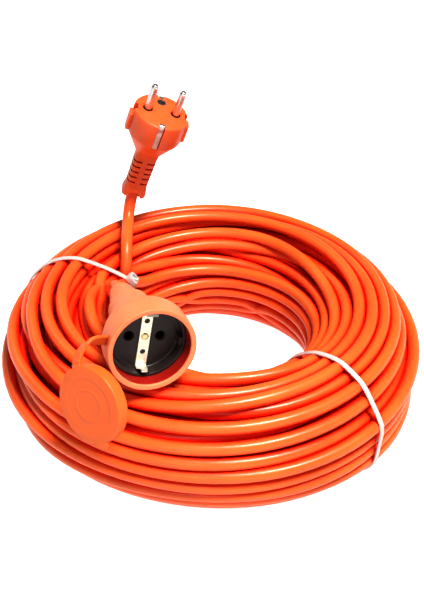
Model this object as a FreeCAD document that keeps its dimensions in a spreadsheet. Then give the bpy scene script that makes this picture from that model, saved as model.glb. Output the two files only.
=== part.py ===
import FreeCAD, Part
import math
import os
import Sketcher

# An extension cord tied into a round coil: a moulded earthed plug, a coil of
# three-core cable, and a coupling socket with a stopper lid on a short strap.
# Millimetres, +Z up. The coil lies on z = 0 and its axis is the Z axis.

Vector = FreeCAD.Vector
doc = FreeCAD.newDocument("ExtensionCord")

DIMENSIONS = {
    # cord and coil
    "cord_diameter": 8.0,
    "core_diameter": 2.8,
    "coil_mean_radius": 99.0,
    "coil_half_width": 40.0,
    "coil_half_height": 43.8,
    "coil_centre_height": 43.0,
    # cable ties
    "tie_width": 3.6,
    "tie_thickness": 1.2,
    "tie_clearance": 0.4,
    "tie_head_width": 6.4,
    "tie_head_length": 7.5,
    "tie_head_depth": 4.6,
    "tie_bite": 0.9,
    # both connectors
    "pin_spacing": 19.0,
    "pin_radius": 2.4,
    "pin_length": 19.0,
    "shank_radius": 1.9,
    "shank_length": 14.0,
    "crimp_radius": 2.1,
    "crimp_length": 7.0,
    # coupling socket, measured back from its rim
    "mouth_radius": 22.8,
    "collar_radius": 26.0,
    "collar_length": 21.0,
    "cover_end": 54.0,
    "socket_length": 74.0,
    "relief_radius": 9.5,
    "relief_end_radius": 6.6,
    "insert_radius": 22.5,
    "insert_edge": 9.5,
    "cup_radius": 20.8,
    "cup_floor": 17.5,
    "block_radius": 14.5,
    "block_end": 37.0,
    "contact_radius": 3.4,
    "contact_bore": 2.45,
    "contact_front": 19.3,
    "earth_width": 6.8,
    "earth_thickness": 0.8,
    "earth_hole_radius": 1.6,
    "rivet_radius": 1.5,
    "rivet_head_radius": 2.1,
    "rivet_head_height": 0.7,
    "guide_hole_radius": 2.8,
    "ridge_length": 8.0,
    "rim_edge": 0.6,
    "seam_gap": 0.1,
    "earth_height": 9.0,
    "earth_reach": 19.6,
    # stopper lid
    "lid_radius": 22.5,
    "lid_thickness": 7.6,
    "lid_wall": 2.0,
    "lid_top": 2.4,
    "lid_gap": 0.8,
    "lid_edge": 0.6,
    "tab_radius": 5.0,
    "lug_reach": 1.5,
    "lid_swing": 80.0,
    "strap_width": 6.2,
    "strap_thickness": 2.0,
    "fold_radius": 1.2,
    "fold_length": 7.0,
    "strap_clearance": 1.0,
    # plug, measured back from its face
    "plug_radius": 18.5,
    "plug_front": 18.0,
    "plug_length": 72.0,
    "neck_width": 15.0,
    "neck_height": 11.0,
    "boot_width": 17.0,
    "boot_height": 13.6,
    "boot_length": 7.0,
    "face_edge": 1.2,
    "notch_width": 6.0,
    "notch_depth": 2.6,
    "recess_radius": 3.3,
    "face_wall": 1.6,
    "bridge_width": 26.4,
    "bridge_height": 11.4,
    "bridge_length": 10.4,
    "bridge_clearance": 0.3,
    "bridge_gap": 0.2,
    "funnel_depth": 6.0,
    "slot_pitch": 4.6,
    "slot_width": 1.4,
    "slot_depth": 2.2,
    "slot_start": 12.0,
    "slot_count": 5,
    "earth_hole_offset": 10.0,
    "sleeve_outer_radius": 3.2,
    "sleeve_bore": 2.45,
    "sleeve_length": 14.0,
    "clip_width": 4.6,
    "clip_thickness": 1.0,
    "clip_channel": 5.2,
    "clip_channel_depth": 2.6,
    "cord_clearance": 0.1,
}

# Where the connectors stand: mouth or face centre, then the heading and the
# elevation of the axis that points out of it, then the turn about that axis.
SOCKET_POSE = ((-33.9, -96.5, 114.5), -71.0, 7.0, 77.5)
PLUG_POSE = ((-34.1, 74.3, 179.2), -27.0, 69.0, 31.5)

# The lid swings about a slanted line that crosses the strap's fold. The point
# and the direction are in the socket's own frame (x right, y up, z outwards).
SWING_POINT = (-39.0, 14.5, 6.0)
SWING_HEADING = 120.0
SWING_ELEVATION = 43.0
LID_TURN = 3.0

# Heading of each tie about the Z axis, the distance of its middle from that
# axis, its skew from the radial plane, and its head's angle round the section.
TIES = {
    "cable_tie_left": (156.0, 96.0, 12.0, 140.0),
    "cable_tie_right": (-42.5, 99.0, 0.0, 200.0),
}

# Routes of the two loose stretches of cord, from the connector to the coil.
PLUG_LEAD = [
    (-55.2, 85.0, 117.6),
    (-57.9, 86.4, 109.5),
    (-59.8, 84.6, 101.8),
    (-60.7, 79.6, 95.7),
    (-60.9, 72.4, 92.0),
    (-60.8, 64.2, 90.9),
    (-60.6, 56.0, 88.7),
    (-60.5, 49.0, 83.8),
    (-60.8, 43.6, 77.0),
    (-61.4, 39.6, 69.0),
]
SOCKET_LEAD = [
    (-55.86, -32.68, 106.23),
    (-59.1, -23.3, 105.0),
    (-62.0, -14.2, 101.1),
    (-64.2, -6.8, 94.6),
    (-65.6, -0.6, 86.8),
    (-66.6, 7.2, 80.3),
    (-66.9, 16.8, 76.2),
    (-65.6, 26.6, 72.2),
]

# How far behind each connector's face its cores pass into the cord.
PLUG_CORD_START = -65.9
SOCKET_CORD_START = -67.9

# Each core: its place across the pins and where it lies inside the cord.
CORES = {"brown": (1, (1.55, 0.9)), "blue": (-1, (-1.55, 0.9)), "earth": (0, (0.0, -1.75))}


def build_sheet():
    sheet = doc.addObject("Spreadsheet::Sheet", "Size")
    for row, (alias, value) in enumerate(DIMENSIONS.items(), start=1):
        sheet.set("A%d" % row, alias)
        sheet.set("B%d" % row, str(value))
        sheet.setAlias("B%d" % row, alias)
    doc.recompute()
    return sheet


sheet = build_sheet()
PARTS = {}


def size(expression):
    """Value of an expression in the sheet's aliases, such as 'Size.lid_radius + 1'."""
    value = sheet.evalExpression(str(expression))
    return float(getattr(value, "Value", value))


def bind(item, **expressions):
    for name, expression in expressions.items():
        item.setExpression(name, str(expression))
    return item


def pose(centre, heading, elevation, turn):
    """Placement whose local +Z points along the heading and the elevation."""
    rotation = FreeCAD.Rotation(Vector(0, 0, 1), heading)
    rotation = rotation.multiply(FreeCAD.Rotation(Vector(0, 1, 0), 90 - elevation))
    rotation = rotation.multiply(FreeCAD.Rotation(Vector(0, 0, 1), turn))
    return FreeCAD.Placement(Vector(*centre), rotation)


def direction(heading, elevation):
    flat = math.cos(math.radians(elevation))
    return Vector(
        flat * math.cos(math.radians(heading)),
        flat * math.sin(math.radians(heading)),
        math.sin(math.radians(elevation)),
    )


def keep(node, item, placement=None):
    """Register a finished sub-part under its node name."""
    item.Label = node
    if placement is not None:
        item.Placement = placement
    PARTS[node] = item
    return item


# ---------------------------------------------------------------- part tools

def place(item, x="0", y="0", z="0"):
    bind(item, **{".Placement.Base.x": x, ".Placement.Base.y": y, ".Placement.Base.z": z})
    return item


def cylinder(name, radius, low, high, x="0", y="0"):
    item = doc.addObject("Part::Cylinder", name)
    bind(item, Radius=radius, Height="(%s) - (%s)" % (high, low))
    return place(item, x, y, low)


def box(name, x, y, z):
    """Box between pairs of expressions (low, high) along each axis."""
    item = doc.addObject("Part::Box", name)
    spans = {"Length": x, "Width": y, "Height": z}
    bind(item, **{side: "(%s) - (%s)" % (high, low) for side, (low, high) in spans.items()})
    return place(item, x[0], y[0], z[0])


def fuse(name, *items):
    item = doc.addObject("Part::MultiFuse", name)
    item.Shapes = list(items)
    return item


def cut(name, base, tool):
    item = doc.addObject("Part::Cut", name)
    item.Base = base
    item.Tool = tool
    return item


# ---------------------------------------------------------------- body tools

def origin_plane(body, role):
    return next(item for item in body.Origin.OriginFeatures if item.Role == role)


def new_sketch(body, role, offset="0"):
    sketch = body.newObject("Sketcher::SketchObject", "Sketch")
    sketch.AttachmentSupport = (origin_plane(body, role), [""])
    sketch.MapMode = "FlatFace"
    sketch.setExpression(".AttachmentOffset.Base.z", str(offset))
    return sketch


def pin_point(sketch, line, x, y):
    """Fix the start of a line, or a circle's centre, at two bound distances."""
    position = 3 if sketch.Geometry[line].TypeId == "Part::GeomCircle" else 1
    for kind, expression in (("DistanceX", x), ("DistanceY", y)):
        rule = Sketcher.Constraint(kind, -1, 1, line, position, size(expression))
        index = sketch.addConstraint(rule)
        sketch.setExpression("Constraints[%d]" % index, str(expression))


def outline(sketch, points):
    """Closed outline through points given as pairs of expressions."""
    corners = [Vector(size(x), size(y), 0) for x, y in points]
    first = sketch.GeometryCount
    count = len(corners)
    for index, start in enumerate(corners):
        sketch.addGeometry(Part.LineSegment(start, corners[(index + 1) % count]), False)
    for index in range(count):
        following = first + (index + 1) % count
        sketch.addConstraint(Sketcher.Constraint("Coincident", first + index, 2, following, 1))
    for index, (x, y) in enumerate(points):
        pin_point(sketch, first + index, x, y)


def rectangle(sketch, x, y):
    outline(sketch, [(x[0], y[0]), (x[1], y[0]), (x[1], y[1]), (x[0], y[1])])


def circle(sketch, x, y, radius):
    centre = Vector(size(x), size(y), 0)
    index = sketch.addGeometry(Part.Circle(centre, Vector(0, 0, 1), size(radius)), False)
    rule = sketch.addConstraint(Sketcher.Constraint("Radius", index, size(radius)))
    sketch.setExpression("Constraints[%d]" % rule, str(radius))
    pin_point(sketch, index, x, y)


def revolve(body, points):
    """Revolve an outline of (radius, height) pairs about the body's Z axis."""
    sketch = new_sketch(body, "XZ_Plane")
    outline(sketch, points)
    feature = body.newObject("PartDesign::Revolution", "Revolution")
    feature.Profile = sketch
    feature.ReferenceAxis = (sketch, ["V_Axis"])
    feature.Angle = 360
    return feature


def extrude(body, kind, sketch, length, upwards):
    feature = body.newObject("PartDesign::" + kind, kind)
    feature.Profile = sketch
    feature.setExpression("Length", str(length))
    default_up = kind == "Pad"
    feature.Reversed = upwards != default_up
    before = body.Shape.Volume if kind == "Pocket" and body.Shape else None
    doc.recompute()
    if before is not None and body.Shape.Volume > before - 0.5:
        raise RuntimeError("pocket cuts nothing in " + body.Label)
    return feature


def pad(body, sketch, length, upwards=True):
    return extrude(body, "Pad", sketch, length, upwards)


def pocket(body, sketch, length, upwards=False):
    return extrude(body, "Pocket", sketch, length, upwards)


# ---------------------------------------------------------------- cord tools

def rounded_path(points, report=None):
    """Straight runs joined by arcs as large as their two runs allow."""
    corners = [Vector(*point) for point in points]
    edges = []
    radii = []
    start = corners[0]
    for before, corner, after in zip(corners, corners[1:], corners[2:]):
        arriving = (corner - before).normalize()
        leaving = (after - corner).normalize()
        turn = arriving.getAngle(leaving)
        trim = 0.45 * min((corner - before).Length, (after - corner).Length)
        radii.append(trim / math.tan(turn / 2))
        tangent_in = corner - arriving * trim
        tangent_out = corner + leaving * trim
        inward = (leaving - arriving).normalize()
        depth = radii[-1] * (1 / math.cos(turn / 2) - 1)
        edges.append(Part.LineSegment(start, tangent_in).toShape())
        edges.append(Part.Arc(tangent_in, corner + inward * depth, tangent_out).toShape())
        start = tangent_out
    edges.append(Part.LineSegment(start, corners[-1]).toShape())
    if report:
        print(report, "radii", [round(radius, 1) for radius in radii])
    return Part.Wire(edges)


def tube(points, diameter, report=None):
    """Round solid along a rounded path, with its volume checked."""
    path = rounded_path(points, report)
    ahead = Vector(*points[1]) - Vector(*points[0])
    section = Part.Wire(Part.makeCircle(diameter / 2, Vector(*points[0]), ahead))
    solid = path.makePipeShell([section], True, True)
    expected = math.pi * diameter ** 2 / 4 * path.Length
    if report:
        print(report, "length %.1f volume ratio %.4f" % (path.Length, solid.Volume / expected))
    return solid


def solid_feature(node, shape, placement=None):
    item = doc.addObject("Part::Feature", node)
    item.Shape = shape
    return keep(node, item, placement)


# ---------------------------------------------------------------- coil and ties

def ellipse_ring(name, grow):
    """Ring with the coil's section, grown by a number of millimetres."""
    rim = doc.addObject("Part::Ellipse", name + "Rim")
    bind(rim, MajorRadius="Size.coil_half_height + (%s)" % grow)
    bind(rim, MinorRadius="Size.coil_half_width + (%s)" % grow)
    upright = FreeCAD.Rotation(Vector(1, 0, 0), 90).multiply(FreeCAD.Rotation(Vector(0, 0, 1), 90))
    rim.Placement = FreeCAD.Placement(Vector(0, 0, 0), upright)
    return place(rim, "Size.coil_mean_radius", "0", "Size.coil_centre_height")


def tie_slab(name, width):
    reach = "Size.coil_half_width * 2"
    return box(name, ("-(%s)" % reach, reach), ("-(%s) / 2" % width, "(%s) / 2" % width),
               ("0", "Size.coil_half_height * 3"))


def tie_core(name, shrink):
    """Elliptical prism inside a tie, centred on the section's own centre."""
    rim = doc.addObject("Part::Ellipse", name + "Rim")
    bind(rim, MajorRadius="Size.coil_half_height - (%s)" % shrink)
    bind(rim, MinorRadius="Size.coil_half_width - (%s)" % shrink)
    upright = FreeCAD.Rotation(Vector(1, 0, 0), 90).multiply(FreeCAD.Rotation(Vector(0, 0, 1), 90))
    rim.Placement = FreeCAD.Placement(Vector(0, 0, 0), upright)
    place(rim, "0", "Size.coil_half_width", "Size.coil_centre_height")
    prism = doc.addObject("Part::Extrusion", name)
    prism.Base = rim
    prism.DirMode = "Custom"
    prism.Dir = Vector(0, -1, 0)
    prism.Solid = True
    bind(prism, LengthFwd="Size.coil_half_width * 2")
    return prism


def tie_placement(tie):
    heading, distance, skew, _ = TIES[tie]
    around = FreeCAD.Placement(Vector(0, 0, 0), FreeCAD.Rotation(Vector(0, 0, 1), heading))
    along = FreeCAD.Placement(Vector(distance, 0, 0), FreeCAD.Rotation(Vector(0, 0, 1), skew))
    return around.multiply(along)


def tie_head(tie, clearance):
    """Block of the tie's head, seated on the section at the head's angle."""
    head = doc.addObject("Part::Box", "TieHead")
    sides = {"Length": "tie_head_length", "Width": "tie_head_width", "Height": "tie_head_depth"}
    bind(head, **{side: "Size.%s + 2 * (%s)" % (alias, clearance) for side, alias in sides.items()})
    head_angle = TIES[tie][3]
    angle = math.radians(head_angle)
    across = (size("Size.coil_half_width") - 1) * math.cos(angle)
    height = (size("Size.coil_half_height") - 1) * math.sin(angle)
    slope = FreeCAD.Rotation(Vector(0, 1, 0), 90 - head_angle)
    centre = Vector(across, 0, size("Size.coil_centre_height") + height)
    spare = size(clearance)
    corner = Vector(-size("Size.tie_head_length") / 2, -size("Size.tie_head_width") / 2,
                    -size("Size.tie_bite"))
    corner -= Vector(spare, spare, spare)
    head.Placement = FreeCAD.Placement(centre + slope.multVec(corner), slope)
    return head


def build_tie(tie):
    band = doc.addObject("Part::Common", "TieBand")
    band.Base = tie_slab("TieSlab", "Size.tie_width")
    band.Tool = tie_core("TieOuter", "Size.tie_bite")
    loop = cut("TieLoop", band, tie_core("TieInner", "Size.tie_bite + Size.tie_thickness"))
    keep(tie, fuse("Tie", loop, tie_head(tie, "0")), tie_placement(tie))


def build_coil():
    ring = doc.addObject("Part::Revolution", "CoilRing")
    ring.Source = ellipse_ring("CoilRing", "0")
    ring.Axis = Vector(0, 0, 1)
    ring.Base = Vector(0, 0, 0)
    ring.Angle = 360
    ring.Solid = True
    reach = "Size.coil_mean_radius * 2"
    ground = box("Ground", ("-(%s)" % reach, reach), ("-(%s)" % reach, reach), ("-20", "0"))
    coil = cut("CoilOnGround", ring, ground)
    for tie in TIES:
        slab = tie_slab("GrooveSlab", "Size.tie_width + 2 * Size.tie_clearance")
        inner = tie_core("GrooveCore", "Size.tie_bite + Size.tie_clearance + Size.tie_thickness")
        groove = fuse("Groove", cut("GrooveLoop", slab, inner), tie_head(tie, "Size.tie_clearance"))
        groove.Placement = tie_placement(tie)
        coil = cut("CoilWithGroove", coil, groove)
    return keep("cord_coil", coil)


def build_leads(coil):
    for node, route in (("cord_plug_lead", PLUG_LEAD), ("cord_socket_lead", SOCKET_LEAD)):
        whole = tube(route, size("Size.cord_diameter"), node)
        outside = whole.cut(coil.Shape)
        solid_feature(node, max(outside.Solids, key=lambda solid: solid.Volume))


# ---------------------------------------------------------------- plug

def build_plug_body(frame):
    body = doc.addObject("PartDesign::Body", "PlugBody")
    revolve(body, [
        ("0", "0"),
        ("Size.plug_radius - Size.face_edge", "0"),
        ("Size.plug_radius", "-Size.face_edge"),
        ("Size.plug_radius", "-Size.plug_front"),
        ("Size.plug_radius - 1.2", "-Size.plug_front - 5"),
        ("Size.plug_radius - 4", "-Size.plug_front - 10"),
        ("Size.plug_radius - 8", "-Size.plug_front - 15"),
        ("Size.neck_height / 2", "-Size.plug_front - 19"),
        ("0", "-Size.plug_front - 19"),
    ])
    neck = new_sketch(body, "XY_Plane", "-Size.plug_length")
    rectangle(neck, ("-Size.neck_width / 2", "Size.neck_width / 2"),
              ("-Size.neck_height / 2", "Size.neck_height / 2"))
    pad(body, neck, "Size.plug_length - Size.plug_front - 8")
    boot = new_sketch(body, "XY_Plane", "-Size.plug_length")
    rectangle(boot, ("-Size.boot_width / 2", "Size.boot_width / 2"),
              ("-Size.boot_height / 2", "Size.boot_height / 2"))
    pad(body, boot, "Size.boot_length")
    cavity = new_sketch(body, "XY_Plane", "-Size.face_wall")
    wide = "(Size.bridge_width / 2 + Size.bridge_clearance)"
    tall = "(Size.bridge_height / 2 + Size.bridge_clearance)"
    rectangle(cavity, ("-" + wide, wide), ("-" + tall, tall))
    pocket(body, cavity, "Size.plug_front + 5")
    funnel = new_sketch(body, "XZ_Plane", "-Size.funnel_depth / 2")
    outline(funnel, [("-12", "-Size.plug_front - 4"), ("12", "-Size.plug_front - 4"),
                     ("4", "-Size.plug_front - 20"), ("-4", "-Size.plug_front - 20")])
    pocket(body, funnel, "Size.funnel_depth", upwards=True)
    bore = new_sketch(body, "XY_Plane", "-Size.plug_length")
    circle(bore, "0", "0", "Size.cord_diameter / 2 + Size.cord_clearance")
    pocket(body, bore, "Size.plug_length - Size.plug_front", upwards=True)
    recess = new_sketch(body, "XY_Plane")
    circle(recess, "Size.pin_spacing / 2", "0", "Size.recess_radius")
    circle(recess, "-Size.pin_spacing / 2", "0", "Size.recess_radius")
    pocket(body, recess, "Size.face_wall + Size.bridge_gap")
    earth = new_sketch(body, "XY_Plane")
    circle(earth, "0", "Size.earth_hole_offset", "Size.sleeve_outer_radius + 0.05")
    pocket(body, earth, "Size.sleeve_length + Size.bridge_gap")
    sides = new_sketch(body, "XY_Plane")
    edge = "(Size.plug_radius + 1)"
    floor = "(Size.plug_radius - Size.clip_channel_depth)"
    channel = "Size.clip_channel / 2"
    for low, high in (("-" + edge, "-" + floor), (floor, edge)):
        rectangle(sides, ("-" + channel, channel), (low, high))
    pocket(body, sides, "Size.plug_front + 2")
    notches = new_sketch(body, "XY_Plane")
    half = "Size.notch_width / 2"
    floor = "(Size.plug_radius - Size.notch_depth)"
    for low, high in (("-" + edge, "-" + floor), (floor, edge)):
        rectangle(notches, (low, high), ("-" + half, half))
    pocket(body, notches, "Size.plug_front - 4")
    first = new_sketch(body, "XZ_Plane", "-Size.neck_height")
    for side in (-1, 1):
        low = "%d * (Size.neck_width / 2 - Size.slot_depth)" % side
        high = "%d * (Size.neck_width / 2 + 1)" % side
        start = "-Size.plug_length + Size.slot_start"
        rectangle(first, (low, high), (start, start + " + Size.slot_width"))
    slots = pocket(body, first, "Size.neck_height * 2", upwards=True)
    pattern = body.newObject("PartDesign::LinearPattern", "Slots")
    pattern.Originals = [slots]
    pattern.Direction = (first, ["V_Axis"])
    bind(pattern, Occurrences="Size.slot_count", Length="Size.slot_pitch * (Size.slot_count - 1)")
    body.Tip = pattern
    keep("plug_body", body, frame)


def build_plug_bridge(frame):
    half = "Size.bridge_width / 2"
    high = "Size.bridge_height / 2"
    block = box("BridgeBlock", ("-" + half, half), ("-" + high, high),
                ("-Size.face_wall - Size.bridge_gap - Size.bridge_length",
                 "-Size.face_wall - Size.bridge_gap"))
    for side in (-1, 1):
        x = "%d * Size.pin_spacing / 2" % side
        hole = cylinder("BridgeHole", "Size.shank_radius", "-Size.plug_front", "0", x=x)
        block = cut("Bridge", block, hole)
    keep("plug_bridge", block, frame)


def build_pin(node, side, frame):
    """Round pin with a thinner shank that is moulded into the bridge."""
    body = doc.addObject("PartDesign::Body", "Pin")
    revolve(body, [
        ("0", "-Size.shank_length"),
        ("Size.shank_radius", "-Size.shank_length"),
        ("Size.shank_radius", "-Size.face_wall"),
        ("Size.pin_radius", "-Size.face_wall"),
        ("Size.pin_radius", "Size.pin_length - 1.6"),
        ("Size.pin_radius - 0.5", "Size.pin_length - 0.5"),
        ("Size.pin_radius - 1.4", "Size.pin_length"),
        ("0", "Size.pin_length"),
    ])
    offset = Vector(side * size("Size.pin_spacing") / 2, 0, 0)
    keep(node, body, frame.multiply(FreeCAD.Placement(offset, FreeCAD.Rotation())))


def build_plug_earth(frame):
    inner = "Size.plug_radius - Size.clip_channel_depth + 0.2"
    width = size("Size.clip_width")
    thickness = size("Size.clip_thickness")
    for node, side in (("plug_earth_clip_near", -1), ("plug_earth_clip_far", 1)):
        clip = doc.addObject("Part::Box", "Clip")
        bind(clip, Length="Size.clip_width", Width="Size.clip_thickness", Height="Size.plug_front")
        middle = side * (size(inner) + thickness / 2)
        low = Vector(-width / 2, middle - thickness / 2, -size("Size.plug_front") - 1)
        keep(node, clip, frame.multiply(FreeCAD.Placement(low, FreeCAD.Rotation())))
    depth = "-Size.sleeve_length"
    y = "Size.earth_hole_offset"
    outside = cylinder("SleeveOut", "Size.sleeve_outer_radius", depth, "0", y=y)
    inside = cylinder("SleeveIn", "Size.sleeve_bore", depth + " + 1.5", "1", y=y)
    keep("plug_earth_sleeve", cut("Sleeve", outside, inside), frame)


# ---------------------------------------------------------------- socket

def build_socket_body(frame):
    body = doc.addObject("PartDesign::Body", "SocketBody")
    revolve(body, [
        ("Size.mouth_radius", "-Size.rim_edge"),
        ("Size.mouth_radius + Size.rim_edge", "0"),
        ("Size.collar_radius - 1", "0"),
        ("Size.collar_radius", "-1"),
        ("Size.collar_radius", "-Size.collar_length"),
        ("Size.mouth_radius", "-Size.collar_length"),
    ])
    keep("socket_body", body, frame)


def build_socket_insert(frame):
    body = doc.addObject("PartDesign::Body", "SocketInsert")
    revolve(body, [
        ("0", "-Size.cup_floor"),
        ("Size.cup_radius", "-Size.cup_floor"),
        ("Size.cup_radius", "-Size.insert_edge"),
        ("Size.insert_radius", "-Size.insert_edge"),
        ("Size.insert_radius", "-Size.cup_floor - 2.5"),
        ("Size.block_radius", "-Size.cup_floor - 2.5"),
        ("Size.block_radius", "-Size.block_end"),
        ("0", "-Size.block_end"),
    ])
    ridges = new_sketch(body, "XY_Plane", "-Size.cup_floor")
    for side in (-1, 1):
        rectangle(ridges, ("%d * (Size.cup_radius - 2.2)" % side, "%d * (Size.cup_radius + 0.8)" % side),
                  ("-Size.notch_width / 2 + 0.6", "Size.notch_width / 2 - 0.6"))
    pad(body, ridges, "Size.ridge_length")
    holes = new_sketch(body, "XY_Plane", "-Size.cup_floor")
    rear = new_sketch(body, "XY_Plane", "-Size.block_end")
    for side in (-1, 1):
        circle(holes, "%d * Size.pin_spacing / 2" % side, "0", "Size.guide_hole_radius")
        circle(rear, "%d * Size.pin_spacing / 2" % side, "0", "Size.contact_radius + 0.05")
    circle(holes, "0", "0", "Size.rivet_radius")
    pocket(body, holes, "Size.block_end")
    pocket(body, rear, "Size.block_end - Size.contact_front + 0.1", upwards=True)
    keep("socket_insert", body, frame)


def build_contact(node, side, frame):
    x = "%d * Size.pin_spacing / 2" % side
    outside = cylinder("ContactOut", "Size.contact_radius", "-Size.block_end", "-Size.contact_front", x=x)
    inside = cylinder("ContactIn", "Size.contact_bore", "-Size.contact_front - 15", "0", x=x)
    keep(node, cut("Contact", outside, inside), frame)


def build_socket_earth(frame):
    half = "Size.earth_width / 2"
    floor = "-Size.cup_floor"
    reach = "Size.earth_reach"
    rise = "%s + Size.earth_thickness" % floor
    strip = box("EarthFloor", ("-" + half, half), ("-" + reach, reach), (floor, rise))
    lower = box("EarthLow", ("-" + half, half), ("-" + reach, "-%s + Size.earth_thickness" % reach),
                (floor, "%s + Size.earth_height" % floor))
    upper = box("EarthHigh", ("-" + half, half), ("%s - Size.earth_thickness" % reach, reach),
                (floor, "%s + Size.earth_height" % floor))
    whole = fuse("EarthStrip", strip, lower, upper)
    centre = cylinder("EarthCentre", "Size.rivet_radius", "-Size.block_end", "0")
    whole = cut("EarthHole", whole, centre)
    for side in (-1, 1):
        y = "%d * Size.earth_hole_offset" % side
        hole = cylinder("EarthSide", "Size.earth_hole_radius", "-Size.block_end", "0", y=y)
        whole = cut("EarthHole", whole, hole)
    keep("socket_earth_strip", whole, frame)
    shank = cylinder("RivetShank", "Size.rivet_radius", "-Size.block_end", rise)
    head = cylinder("RivetHead", "Size.rivet_head_radius", rise, rise + " + Size.rivet_head_height")
    keep("earth_rivet", fuse("Rivet", shank, head), frame)


def build_rear_cover(frame):
    body = doc.addObject("PartDesign::Body", "RearCover")
    joint = "-Size.collar_length - Size.seam_gap"
    revolve(body, [
        ("Size.insert_radius + 0.2", joint),
        ("Size.collar_radius - 0.5", joint),
        ("Size.collar_radius - 0.2", "-Size.collar_length - 1.2"),
        ("Size.collar_radius - 2", "-Size.collar_length - 5"),
        ("Size.collar_radius - 6", "-Size.collar_length - 13"),
        ("Size.block_radius + 2.5", "-Size.collar_length - 20"),
        ("Size.block_radius + 0.5", "-Size.collar_length - 28"),
        ("Size.block_radius - 0.5", "-Size.cover_end + 1"),
        ("Size.block_radius - 1.5", "-Size.cover_end"),
        ("4.6", "-Size.cover_end"),
        ("6.5", "-Size.cover_end + 1.5"),
        ("Size.block_radius - 2", "-Size.cover_end + 6"),
        ("Size.block_radius + 0.5", "-Size.block_end - 3"),
        ("Size.block_radius + 0.5", "-Size.collar_length - 5"),
    ])
    keep("socket_rear_cover", body, frame)


def build_relief(frame):
    """Tapered sleeve with five rounds between shallow grooves."""
    body = doc.addObject("PartDesign::Body", "StrainRelief")
    bore = "Size.cord_diameter / 2 + Size.cord_clearance"
    span = "(Size.socket_length - Size.cover_end)"
    points = [(bore, "-Size.cover_end")]
    rounds = 5
    for index in range(rounds):
        taper = "Size.relief_radius - (Size.relief_radius - Size.relief_end_radius) * %.2f" % (index / rounds)
        start = "-Size.cover_end - %s * %.2f" % (span, index / rounds)
        groove = "-Size.cover_end - %s * %.2f" % (span, (index + 0.68) / rounds)
        points += [(taper, start), (taper, groove), ("%s - 1.2" % taper, groove)]
        points += [("%s - 1.2" % taper, "-Size.cover_end - %s * %.2f" % (span, (index + 1) / rounds))]
    points.append((bore, "-Size.socket_length"))
    revolve(body, points)
    keep("socket_strain_relief", body, frame)


# ---------------------------------------------------------------- lid and strap

def build_lid(frame):
    body = doc.addObject("PartDesign::Body", "Lid")
    revolve(body, [
        ("0", "0"),
        ("Size.lid_radius - Size.lid_edge", "0"),
        ("Size.lid_radius", "-Size.lid_edge"),
        ("Size.lid_radius", "-Size.lid_thickness + 0.8"),
        ("Size.lid_radius - 0.5", "-Size.lid_thickness"),
        ("Size.lid_radius - Size.lid_wall", "-Size.lid_thickness"),
        ("Size.lid_radius - Size.lid_wall", "-Size.lid_top"),
        ("0", "-Size.lid_top"),
    ])
    tab = new_sketch(body, "XY_Plane")
    circle(tab, "Size.lid_radius - 1.5", "0", "Size.tab_radius")
    pad(body, tab, "Size.lid_top", upwards=False)
    lug = new_sketch(body, "XY_Plane", "-0.2")
    rectangle(lug, ("-Size.lid_radius - Size.lug_reach", "-Size.lid_radius + 1"),
              ("-Size.strap_width / 2", "Size.strap_width / 2"))
    pad(body, lug, "Size.strap_thickness", upwards=False)
    keep("lid", body, frame)


def plate_between(start, end, across):
    """Flat strip from start to end, its width along the vector across."""
    item = doc.addObject("Part::Box", "Strip")
    bind(item, Width="Size.strap_width", Height="Size.strap_thickness")
    item.Length = (end - start).Length
    along = (end - start).normalize()
    normal = along.cross(across).normalize()
    across = normal.cross(along)
    rotation = FreeCAD.Rotation(along, across, normal, "XYZ")
    half = Vector(0, -size("Size.strap_width") / 2, -size("Size.strap_thickness") / 2)
    item.Placement = FreeCAD.Placement(start + rotation.multVec(half), rotation)
    return item


def build_strap(socket, lid):
    """The strap's fixed end on the housing and the end that swings with the lid."""
    line = direction(SWING_HEADING, SWING_ELEVATION)
    fixed_fold = Vector(*SWING_POINT) - line * 18
    moving_fold = Vector(*SWING_POINT) - line * 9
    side = 3
    reach = math.sqrt(size("Size.collar_radius") ** 2 - side ** 2) + size("Size.strap_clearance")
    wall = Vector(-reach, side, -8)
    upright = socket.Rotation.multVec(Vector(0, 1, 0.3))
    keep("lid_strap_root", plate_between(socket.multVec(wall), socket.multVec(fixed_fold), upright))
    edge = Vector(-size("Size.lid_radius + Size.lug_reach + 1.5 * Size.strap_thickness"), 0, -1.2)
    rest = swing_back(socket)
    fold = rest.multVec(socket.multVec(moving_fold))
    sideways = lid.Rotation.multVec(Vector(0, 1, 0))
    strip = plate_between(fold, lid.multVec(edge), sideways)
    keep("lid_strap_end", fuse("StrapEnd", strip, fold_roll(socket, line, fold)))


def fold_roll(socket, line, middle):
    """Rounded thickening of the strap along its fold."""
    roll = doc.addObject("Part::Cylinder", "FoldRoll")
    bind(roll, Radius="Size.fold_radius", Height="Size.fold_length")
    axis = socket.Rotation.multVec(line)
    turn = FreeCAD.Rotation(Vector(0, 0, 1), axis)
    roll.Placement = FreeCAD.Placement(middle - axis * (size("Size.fold_length") / 2), turn)
    return roll


def swing_back(socket):
    """Turn about the strap's fold that takes the closed lid to its open place."""
    line = socket.Rotation.multVec(direction(SWING_HEADING, SWING_ELEVATION))
    turn = FreeCAD.Rotation(line, -size("Size.lid_swing"))
    point = socket.multVec(Vector(*SWING_POINT))
    return FreeCAD.Placement(Vector(0, 0, 0), turn, point)


def lid_placement(socket):
    closed = FreeCAD.Placement(
        Vector(0, 0, size("Size.lid_thickness + Size.lid_gap")),
        FreeCAD.Rotation(Vector(0, 0, 1), LID_TURN),
    )
    return swing_back(socket).multiply(socket.multiply(closed))


# ---------------------------------------------------------------- wiring

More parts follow.
